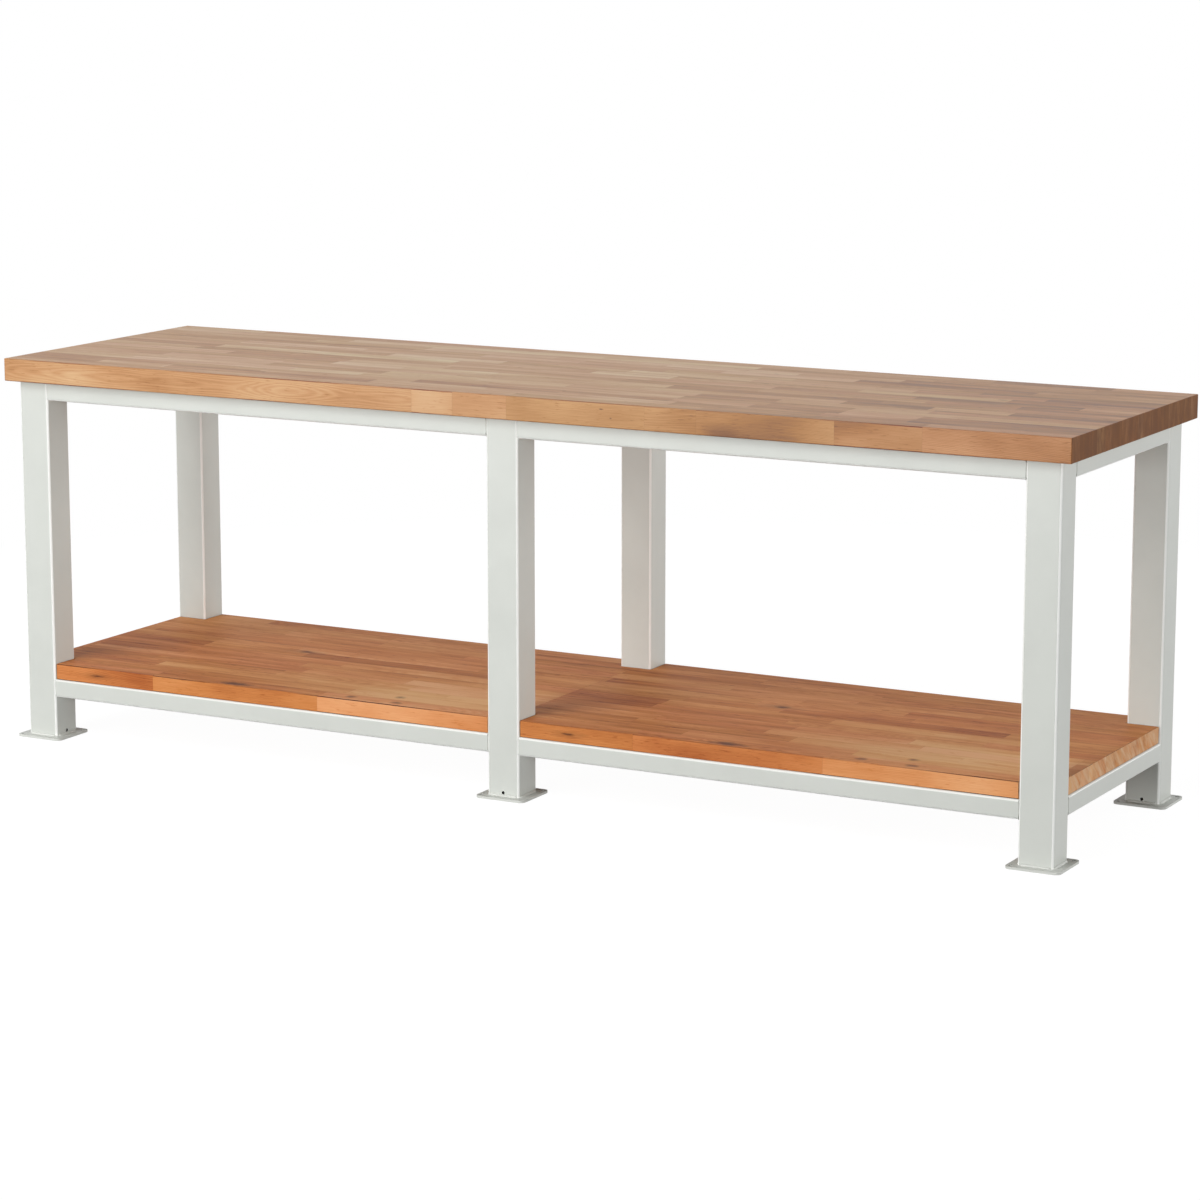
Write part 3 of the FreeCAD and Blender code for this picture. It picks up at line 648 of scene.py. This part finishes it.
def oiled_beech(name, stops, contrast, end_colour, saw_lean, saw_clean, arris_shade, patches, knots,
                roughness, gloss):
    """Beech in a ramp of colours from its darkest to its palest tone. The saw lean is how far saw marks on
    the ends slope, and the saw clean how much of the end colour stays between them. A patch or a knot is the
    place of its middle, half its length along the grain, half its width across it, all in mm, and how much it
    pushes the tone or how dark it is."""
    material = bpy.data.materials.new(name)
    material.use_nodes = True
    t = material.node_tree
    t.nodes.clear()
    place = add(t, "ShaderNodeTexCoord").outputs["Object"]
    at = add(t, "ShaderNodeSeparateXYZ", {0: place}).outputs
    fact = {}
    for word in STAVE_FACTS:
        held = add(t, "ShaderNodeAttribute", attribute_name=f"stave_{word}")
        fact[word] = add(t, "ShaderNodeSeparateXYZ", {0: held.outputs["Vector"]}).outputs
    along = add(t, "ShaderNodeMath", {0: at[0], 1: fact["span"][0]}, operation="SUBTRACT").outputs[0]
    shift = add(t, "ShaderNodeMath", {0: fact["side"][2], 1: SEED_SPREAD}, operation="MULTIPLY").outputs[0]

    # rings round the heart, which comes nearer and goes away along the stave
    sway = add(t, "ShaderNodeMath", {0: at[0], 1: 1000 / SWAY_LONG_MM, 2: shift}, operation="MULTIPLY_ADD")
    sway = add(t, "ShaderNodeTexNoise", {"W": sway.outputs[0], "Scale": 1.0, "Detail": 1.0},
               noise_dimensions="1D")
    sway = add(t, "ShaderNodeMapRange", {"Value": sway.outputs["Fac"], "To Min": -SWAY_MM * mm,
                                         "To Max": SWAY_MM * mm})
    drift = add(t, "ShaderNodeMath", {0: along, 1: fact["pith"][2], 2: sway.outputs[0]},
                operation="MULTIPLY_ADD").outputs[0]
    ring = [add(t, "ShaderNodeMath", {0: at[0], 1: WOBBLE_SLOW, 2: shift}, operation="MULTIPLY_ADD")]
    for axis, heart, way in ((1, fact["pith"][0], fact["aim"][0]), (2, fact["pith"][1], fact["aim"][1])):
        centre = add(t, "ShaderNodeMath", {0: drift, 1: way, 2: heart}, operation="MULTIPLY_ADD")
        ring.append(add(t, "ShaderNodeMath", {0: at[axis], 1: centre.outputs[0]}, operation="SUBTRACT"))
    round_heart = add(t, "ShaderNodeCombineXYZ", {i: made.outputs[0] for i, made in enumerate(ring)})
    rings = add(t, "ShaderNodeTexWave",
                {"Vector": round_heart.outputs[0], "Scale": WAVE_RING / (RING_MM * mm),
                 "Distortion": 2.5, "Detail": 2.0, "Detail Scale": 0.6},
                wave_type="RINGS", rings_direction="X")
    figure = add(t, "ShaderNodeMath", {0: rings.outputs["Fac"], 1: 0.5}, operation="SUBTRACT")
    figure = add(t, "ShaderNodeMath", {0: figure.outputs[0], 1: fact["aim"][2]}, operation="MULTIPLY")

    # fibres, streaks and flecks: noises drawn out along the stave
    pulled = {}
    for word, sizes in (("fibre", FIBRE_MM), ("streak", STREAK_MM), ("fleck", FLECK_MM)):
        drawn = add(t, "ShaderNodeVectorMath", {0: place, 1: [1000 / size for size in sizes]},
                    operation="MULTIPLY")
        apart = add(t, "ShaderNodeCombineXYZ", {0: shift, 1: shift, 2: 0.0})
        moved = add(t, "ShaderNodeVectorMath", {0: drawn.outputs[0], 1: apart.outputs[0]}, operation="ADD")
        pulled[word] = add(t, "ShaderNodeTexNoise", {"Vector": moved.outputs[0], "Scale": 1.0, "Detail": 2.5,
                                                     "Roughness": 0.55}).outputs["Fac"]
    flecks = add(t, "ShaderNodeMapRange", {"Value": pulled["fleck"], "From Min": FLECK_FROM,
                                           "From Max": FLECK_FULL})

    # every pattern pushes the tone of the stave
    tone = fact["span"][2]
    for value, centre, push in ((figure.outputs[0], 0.0, RING_PUSH), (pulled["fibre"], 0.5, FIBRE_PUSH),
                                (pulled["streak"], 0.5, STREAK_PUSH), (flecks.outputs[0], 0.0, FLECK_PUSH)):
        off = add(t, "ShaderNodeMath", {0: value, 1: centre}, operation="SUBTRACT")
        tone = add(t, "ShaderNodeMath", {0: off.outputs[0], 1: push * contrast, 2: tone},
                   operation="MULTIPLY_ADD").outputs[0]

    # patches push it too, and fade out softly
    def from_middle(x, y, z, long, wide):
        """How far out from the middle of a patch or a knot a point lies, with its rim at 1."""
        away = add(t, "ShaderNodeVectorMath", {0: place, 1: (x * mm, y * mm, z * mm)}, operation="SUBTRACT")
        away = add(t, "ShaderNodeVectorMath",
                   {0: away.outputs[0], 1: (1000 / long, 1000 / wide, 1000 / wide)}, operation="MULTIPLY")
        return add(t, "ShaderNodeVectorMath", {0: away.outputs[0]}, operation="LENGTH").outputs["Value"]

    for *where, push in patches:
        soft = add(t, "ShaderNodeMapRange", {"Value": from_middle(*where), "To Min": push, "To Max": 0.0},
                   interpolation_type="SMOOTHSTEP")
        tone = add(t, "ShaderNodeMath", {0: tone, 1: soft.outputs[0]}, operation="ADD").outputs[0]
    ramp = add(t, "ShaderNodeValToRGB", {"Fac": tone})
    for index, colour in enumerate(stops):
        if index < 2:
            stop = ramp.color_ramp.elements[index]
        else:
            stop = ramp.color_ramp.elements.new(index / (len(stops) - 1))
        stop.position = index / (len(stops) - 1)
        stop.color = linear(colour)
    colour = ramp.outputs["Color"]

    # some staves lean to pink and some to yellow
    hue = add(t, "ShaderNodeMix", {0: fact["side"][2], 6: linear(PINKISH), 7: linear(YELLOWISH)},
              data_type="RGBA")
    colour = add(t, "ShaderNodeMix", {0: 1.0, 6: colour, 7: hue.outputs[2]}, data_type="RGBA",
                 blend_type="MULTIPLY").outputs[2]

    # the ends have another colour, mottled by the saw
    facing = add(t, "ShaderNodeSeparateXYZ", {0: add(t, "ShaderNodeNewGeometry").outputs["True Normal"]})
    facing = add(t, "ShaderNodeMath", {0: facing.outputs[0]}, operation="ABSOLUTE")
    end = add(t, "ShaderNodeMapRange", {"Value": facing.outputs[0], "From Min": END_FROM,
                                        "From Max": END_FULL}).outputs[0]
    slope = add(t, "ShaderNodeMath", {0: at[2], 1: saw_lean, 2: at[1]}, operation="MULTIPLY_ADD")
    mark = add(t, "ShaderNodeCombineXYZ", {0: slope.outputs[0], 1: at[2], 2: shift})
    mark = add(t, "ShaderNodeVectorMath", {0: mark.outputs[0], 1: (1000 / SAW_MM, 1000 / SAW_LONG_MM, 1.0)},
               operation="MULTIPLY")
    mark = add(t, "ShaderNodeTexNoise", {"Vector": mark.outputs[0], "Scale": 1.0, "Detail": 3.0,
                                         "Roughness": 0.65})
    mark = add(t, "ShaderNodeMapRange", {"Value": mark.outputs["Fac"], "From Min": SAW_FROM,
                                         "From Max": SAW_FULL, "To Min": saw_clean})
    cut = add(t, "ShaderNodeMath", {0: end, 1: mark.outputs[0]}, operation="MULTIPLY")
    colour = add(t, "ShaderNodeMix", {0: cut.outputs[0], 6: colour, 7: linear(end_colour)},
                 data_type="RGBA").outputs[2]

    # the eased edges along the grain hold dirt, and the joints show a thin line of glue
    worn = add(t, "ShaderNodeMapRange", {"Value": pulled["streak"], "From Min": DIRT_FROM,
                                         "From Max": DIRT_FULL})
    worn = add(t, "ShaderNodeMath", {0: add(t, "ShaderNodeAttribute", attribute_name="arris").outputs["Fac"],
                                     1: worn.outputs[0]}, operation="MULTIPLY")
    plain = add(t, "ShaderNodeMath", {0: 1.0, 1: end}, operation="SUBTRACT")
    worn = add(t, "ShaderNodeMath", {0: worn.outputs[0], 1: plain.outputs[0]}, operation="MULTIPLY")
    nearest = None
    for one, two in ((at[0], fact["span"][0]), (fact["span"][1], at[0]),
                     (at[1], fact["side"][0]), (fact["side"][1], at[1])):
        gap = add(t, "ShaderNodeMath", {0: one, 1: two}, operation="SUBTRACT").outputs[0]
        if nearest is not None:
            gap = add(t, "ShaderNodeMath", {0: nearest, 1: gap}, operation="MINIMUM").outputs[0]
        nearest = gap
    glue = add(t, "ShaderNodeMapRange", {"Value": nearest, "From Max": GLUE_LINE_MM * mm,
                                         "To Min": GLUE_SHARE, "To Max": 0.0})
    for share, shade in ((worn.outputs[0], arris_shade), (glue.outputs[0], GLUE_SHADE)):
        colour = add(t, "ShaderNodeMix", {0: share, 6: colour, 7: linear(shade)},
                     data_type="RGBA", blend_type="MULTIPLY").outputs[2]

    # knots, which the flecks fray
    for *where, dark in knots:
        frayed = add(t, "ShaderNodeMath", {0: pulled["fleck"], 1: KNOT_FRAY, 2: from_middle(*where)},
                     operation="MULTIPLY_ADD")
        knot = add(t, "ShaderNodeMapRange", {"Value": frayed.outputs[0], "From Min": KNOT_FULL,
                                             "From Max": KNOT_EDGE, "To Min": dark, "To Max": 0.0})
        colour = add(t, "ShaderNodeMix", {0: knot.outputs[0], 6: colour, 7: linear(KNOT_COLOUR)},
                     data_type="RGBA").outputs[2]

    # fibres make the polish uneven, and the cut ends stay dull
    sheen = add(t, "ShaderNodeMapRange", {"Value": pulled["fibre"], "To Min": roughness - POLISH_SPREAD,
                                          "To Max": roughness + POLISH_SPREAD})
    sheen = add(t, "ShaderNodeMix", {0: end, 2: sheen.outputs[0], 3: END_ROUGHNESS})
    bump = add(t, "ShaderNodeBump", {"Height": pulled["fibre"], "Strength": 0.35, "Distance": FIBRE_DEPTH})
    wood = add(t, "ShaderNodeBsdfPrincipled",
               {"Base Color": colour, "IOR": 1.5, "Roughness": sheen.outputs[0], "Specular IOR Level": gloss,
                "Normal": bump.outputs[0]})
    add(t, "ShaderNodeOutputMaterial", {"Surface": wood.outputs[0]})
    return material


print("ring scale", round(WAVE_RING / (RING_MM * mm), 1))

# %% [markdown]
# ## Worktop
# The slab is 50 mm thick. A few staves stand out on the real one, pale sapwood or dark heartwood, and those
# are listed one by one. So are the joints along the front edge, which everybody sees first, and the knots.

# %% The worktop slab
PALE, FAIR, BROWN, DARK = 0.84, 0.73, 0.47, 0.40
TOP_SEED = 21
TOP_ROWS = 16
TOP_EASE = 2 * mm
TOP_TONE, TOP_SPREAD = 0.62, 0.11
RIGHT_PAINTED_FALLOFF = 0.30   # painted shade: the tone of the top's staves drops this much per metre right of the middle
# row from the rear: staves that stand out, from and to along the bench in mm, and their tone
TOP_STAVES = {
    0: [(304, 479, FAIR), (812, 1075, BROWN)],
    3: [(-1150, -750, BROWN), (-750, -537, DARK), (-537, -346, BROWN), (242, 554, PALE), (554, 958, DARK)],
    5: [(-250, 60, BROWN)],
    6: [(0, 192, PALE)],
    7: [(-733, -329, BROWN), (767, 1125, DARK)],
    9: [(-1158, -571, BROWN), (-571, -392, PALE), (250, 733, DARK)],
    10: [(667, 858, DARK), (858, 1029, PALE)],
    11: [(-154, 60, FAIR)],
    12: [(-592, -417, PALE), (346, 546, BROWN), (725, 958, PALE)],
    13: [(-1058, -875, DARK), (92, 346, BROWN), (525, 725, BROWN), (725, 892, PALE)],
    14: [(-1250, -1037, DARK), (-1037, -867, FAIR), (-858, -617, DARK), (370, 700, BROWN)],
    # the front row: its tones fall toward the right, partly the staves' own tones and partly a painted
    # falloff of the light
    15: [(-1250, -203, 0.53), (-203, -105, 0.56), (-105, 23, 0.55), (23, 341, 0.45), (341, 457, 0.43),
         (457, 758, 0.35), (758, 944, 0.23), (944, 1250, 0.42)],
}

worktop_beech = oiled_beech(
    "planed_oiled_beech",
    stops=("#74461F", "#A36E39", "#BF8E5E", "#D0AA7E", "#E3C9A6"), contrast=1.5,
    end_colour="#6E4930", saw_lean=0.0, saw_clean=0.7, arris_shade="#A06A40",
    patches=[(508, -350, 798, 62, 32, -0.26), (600, -350, 798, 160, 22, -0.08)],
    knots=[(358, 221, 850, 8, 4, 0.5), (935, 75, 850, 12, 6, 0.5), (243, -350, 837, 6, 2, 0.9),
           (265, -350, 820, 3, 1.5, 0.8)],
    roughness=0.44, gloss=0.42)

low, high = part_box("worktop")
rng = random.Random(TOP_SEED)
width = (high.y - low.y) / TOP_ROWS
rows = []
for index in range(TOP_ROWS):
    rear = high.y - index * width
    chosen = [(a * mm, b * mm, tone) for a, b, tone in TOP_STAVES.get(index, [])]
    staves = lay_row(rng, low.x, high.x, chosen, TOP_TONE, TOP_SPREAD)
    # painted falloff of the light: staves right of the middle are made darker, in all rows but the front one
    if index < TOP_ROWS - 1:
        staves = [(a, b, tone - RIGHT_PAINTED_FALLOFF * max(0, (a + b) / 2)) for a, b, tone in staves]
    rows.insert(0, (rear - width, rear, staves))
outline = [(low.x, low.y), (high.x, low.y), (high.x, high.y), (low.x, high.y)]
bm = glued_slab(outline, low.z, high.z, TOP_EASE, rows, rng)
worktop = piece_from_mesh("worktop_staves", bm, worktop_beech, ["worktop"])
print("staves in the top:", sum(len(staves) for _, _, staves in rows), "faces", len(worktop.data.polygons))

# %% [markdown]
# ## Shelf boards
# The two boards lie on the lower rails, notched round the legs. They are redder than the top, steamed beech,
# with a few dark knots. Their outline follows the CAD boards: the notches clear the legs by a millimetre.

# %% The notched shelf boards
SHELF_SEED = 33
SHELF_ROWS = 14
SHELF_EASE = 1.5 * mm
SHELF_TONE, SHELF_SPREAD = 0.54, 0.08
NOTCH_GAP = 1 * mm
# row from the front: staves that stand out, from and to in mm from the board's left end, and their tone
SHELF_STAVES = {
    0: [(0, 333, 0.46), (333, 760, 0.49), (760, 1225, 0.60)],
    1: [(60, 420, 0.52), (420, 800, 0.56), (800, 1225, 0.68)],
    2: [(640, 1010, 0.64), (1010, 1225, 0.70)],
    3: [(560, 900, 0.60), (900, 1225, 0.70)],
    4: [(20, 600, 0.56), (600, 860, 0.66), (860, 1225, 0.72)],
    5: [(20, 246, 0.36), (246, 560, 0.46), (560, 1000, 0.55)],
    6: [(250, 640, 0.56), (640, 1100, 0.68)],
    7: [(505, 1010, 0.36)],
    9: [(40, 240, 0.40)],
}
# knots and patches: their middle in mm from the board's left end, its front edge and the floor, half their
# length and width in mm, and how dark they are or how much they push the tone
SHELF_KNOTS = [(491, 375, 170, 20, 12, 0.9), (491, 375, 170, 60, 24, 0.25), (542, 18, 170, 45, 16, 0.9),
               (925, 70, 170, 14, 11, 0.7), (945, 22, 170, 16, 12, 0.7), (183, 0, 153, 18, 3, 0.9),
               (183, 0, 153, 50, 9, 0.3), (830, 26, 170, 16, 11, 0.7)]
SHELF_PATCHES = [(990, 125, 170, 430, 220, 0.30), (300, 500, 170, 420, 170, 0.08)]
LAID_FURTHER = {"shelf_board_left": 0, "shelf_board_right": -30}   # the boards' patterns, shifted along in mm

for name in ("shelf_board_left", "shelf_board_right"):
    low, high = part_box(name)
    columns = COLUMNS[:2] if name.endswith("left") else COLUMNS[1:]
    cut = {}
    for row in ("front", "rear"):
        for column in columns:
            leg_low, leg_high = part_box(f"leg_{row}_{column}")
            cut[row, column] = leg_low - Vector((NOTCH_GAP,) * 3), leg_high + Vector((NOTCH_GAP,) * 3)
    near, far = columns
    outline = [
        (cut["front", near][1].x, low.y), (cut["front", far][0].x, low.y),
        (cut["front", far][0].x, cut["front", far][1].y), (high.x, cut["front", far][1].y),
        (high.x, cut["rear", far][0].y), (cut["rear", far][0].x, cut["rear", far][0].y),
        (cut["rear", far][0].x, high.y), (cut["rear", near][1].x, high.y),
        (cut["rear", near][1].x, cut["rear", near][0].y), (low.x, cut["rear", near][0].y),
        (low.x, cut["front", near][1].y), (cut["front", near][1].x, cut["front", near][1].y),
    ]
    rng = random.Random(SHELF_SEED)
    further = LAID_FURTHER[name]
    width = (high.y - low.y) / SHELF_ROWS
    rows = []
    for index in range(SHELF_ROWS):
        front = low.y + index * width
        chosen = [(max(low.x, low.x + (a + further) * mm), low.x + (b + further) * mm, tone)
                  for a, b, tone in SHELF_STAVES.get(index, [])]
        staves = lay_row(rng, low.x, high.x, chosen, SHELF_TONE, SHELF_SPREAD)
        rows.append((front, front + width, staves))
    patches, knots = ([(low.x / mm + further + x, low.y / mm + y, *rest) for x, y, *rest in marks]
                      for marks in (SHELF_PATCHES, SHELF_KNOTS))
    shelf_beech = oiled_beech(
        f"steamed_oiled_beech_{columns[0]}",
        stops=("#7A3A12", "#A85C25", "#C97F41", "#DE9C62", "#EDB984"), contrast=1.5,
        end_colour="#DCB792", saw_lean=0.9, saw_clean=0.2, arris_shade="#4A2410",
        patches=patches, knots=knots, roughness=0.60, gloss=0.25)
    bm = glued_slab(outline, low.z, high.z, SHELF_EASE, rows, rng)
    board = piece_from_mesh(f"{name}_staves", bm, shelf_beech, [name])
    print(board.name, "faces", len(board.data.polygons))
